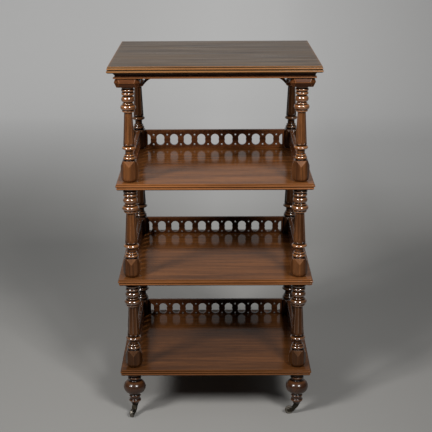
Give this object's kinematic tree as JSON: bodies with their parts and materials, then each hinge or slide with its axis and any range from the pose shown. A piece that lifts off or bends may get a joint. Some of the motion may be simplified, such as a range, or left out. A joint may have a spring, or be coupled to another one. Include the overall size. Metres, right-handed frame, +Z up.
{
  "type": "etagere",
  "caption": "Open display stand: moulded top board and shelves on turned octagonal-shaft columns, with fretted galleries, bulb feet and swivel casters.",
  "frame": {"origin": "on the floor, under the middle of the top board", "axes": "+X to the right along the wide side, +Y to the back, +Z up; the open front faces -Y"},
  "size_m": [0.618, 0.565, 1.1],
  "materials": {
    "mahogany_top": "french polished, straight grain along X",
    "mahogany_shelf": "glossy french polish",
    "mahogany_fretwork": "polished, dark in the piercings",
    "mahogany_turned": "french polished, dark in the quirks",
    "mahogany_frieze": "french polished",
    "mahogany_carved": "french polished, dark in the angles",
    "caster_brass": "aged, dull brown brass",
    "caster_wheel": "worn bright on the tread, dark in the dish",
    "screw_steel": "dulled"
  },
  "bodies": {
    "frame": {"top_board": "mahogany_top", "upper_shelf": "mahogany_shelf", "upper_gallery_back": "mahogany_fretwork", "upper_gallery_left": "mahogany_fretwork", "upper_gallery_right": "mahogany_fretwork", "upper_column_front_left": "mahogany_turned", "upper_column_front_right": "mahogany_turned", "upper_column_back_left": "mahogany_turned", "upper_column_back_right": "mahogany_turned", "middle_shelf": "mahogany_shelf", "middle_gallery_back": "mahogany_fretwork", "middle_gallery_left": "mahogany_fretwork", "middle_gallery_right": "mahogany_fretwork", "middle_column_front_left": "mahogany_turned", "middle_column_front_right": "mahogany_turned", "middle_column_back_left": "mahogany_turned", "middle_column_back_right": "mahogany_turned", "lower_shelf": "mahogany_shelf", "lower_gallery_back": "mahogany_fretwork", "lower_gallery_left": "mahogany_fretwork", "lower_gallery_right": "mahogany_fretwork", "lower_column_front_left": "mahogany_turned", "lower_column_front_right": "mahogany_turned", "lower_column_back_left": "mahogany_turned", "lower_column_back_right": "mahogany_turned", "frieze_front": "mahogany_frieze", "frieze_right": "mahogany_frieze", "frieze_back": "mahogany_frieze", "frieze_left": "mahogany_frieze", "capital_front_left": "mahogany_carved", "bracket_front_left": "mahogany_carved", "foot_front_left": "mahogany_turned", "caster_socket_front_left": "caster_brass", "capital_front_right": "mahogany_carved", "bracket_front_right": "mahogany_carved", "foot_front_right": "mahogany_turned", "caster_socket_front_right": "caster_brass", "capital_back_left": "mahogany_carved", "bracket_back_left": "mahogany_carved", "foot_back_left": "mahogany_turned", "caster_socket_back_left": "caster_brass", "capital_back_right": "mahogany_carved", "bracket_back_right": "mahogany_carved", "foot_back_right": "mahogany_turned", "caster_socket_back_right": "caster_brass", "caster_screws": "screw_steel"},
    "swivel_front_left": {"caster_fork_front_left": "caster_brass", "caster_axle_front_left": "caster_brass"},
    "wheel_front_left": {"caster_wheel_front_left": "caster_wheel"},
    "swivel_front_right": {"caster_fork_front_right": "caster_brass", "caster_axle_front_right": "caster_brass"},
    "wheel_front_right": {"caster_wheel_front_right": "caster_wheel"},
    "swivel_back_left": {"caster_fork_back_left": "caster_brass", "caster_axle_back_left": "caster_brass"},
    "wheel_back_left": {"caster_wheel_back_left": "caster_wheel"},
    "swivel_back_right": {"caster_fork_back_right": "caster_brass", "caster_axle_back_right": "caster_brass"},
    "wheel_back_right": {"caster_wheel_back_right": "caster_wheel"}
  },
  "joints": [
    {"name": "caster_swivel_front_left", "type": "hinge", "parent": "frame", "child": "swivel_front_left", "pos_m": [-0.2525, -0.226, 0.038], "axis": [0, 0, 1], "continuous": true},
    {"name": "caster_roll_front_left", "type": "hinge", "parent": "swivel_front_left", "child": "wheel_front_left", "pos_m": [-0.26071, -0.24855, 0.013], "axis": [0.9397, -0.342, 0], "continuous": true},
    {"name": "caster_swivel_front_right", "type": "hinge", "parent": "frame", "child": "swivel_front_right", "pos_m": [0.2525, -0.226, 0.038], "axis": [0, 0, 1], "continuous": true},
    {"name": "caster_roll_front_right", "type": "hinge", "parent": "swivel_front_right", "child": "wheel_front_right", "pos_m": [0.2285, -0.226, 0.013], "axis": [0, -1, 0], "continuous": true},
    {"name": "caster_swivel_back_left", "type": "hinge", "parent": "frame", "child": "swivel_back_left", "pos_m": [-0.2525, 0.226, 0.038], "axis": [0, 0, 1], "continuous": true},
    {"name": "caster_roll_back_left", "type": "hinge", "parent": "swivel_back_left", "child": "wheel_back_left", "pos_m": [-0.27425, 0.21586, 0.013], "axis": [0.4226, -0.9063, 0], "continuous": true},
    {"name": "caster_swivel_back_right", "type": "hinge", "parent": "frame", "child": "swivel_back_right", "pos_m": [0.2525, 0.226, 0.038], "axis": [0, 0, 1], "continuous": true},
    {"name": "caster_roll_back_right", "type": "hinge", "parent": "swivel_back_right", "child": "wheel_back_right", "pos_m": [0.27369, 0.23727, 0.013], "axis": [-0.4695, 0.8829, 0], "continuous": true}
  ]
}
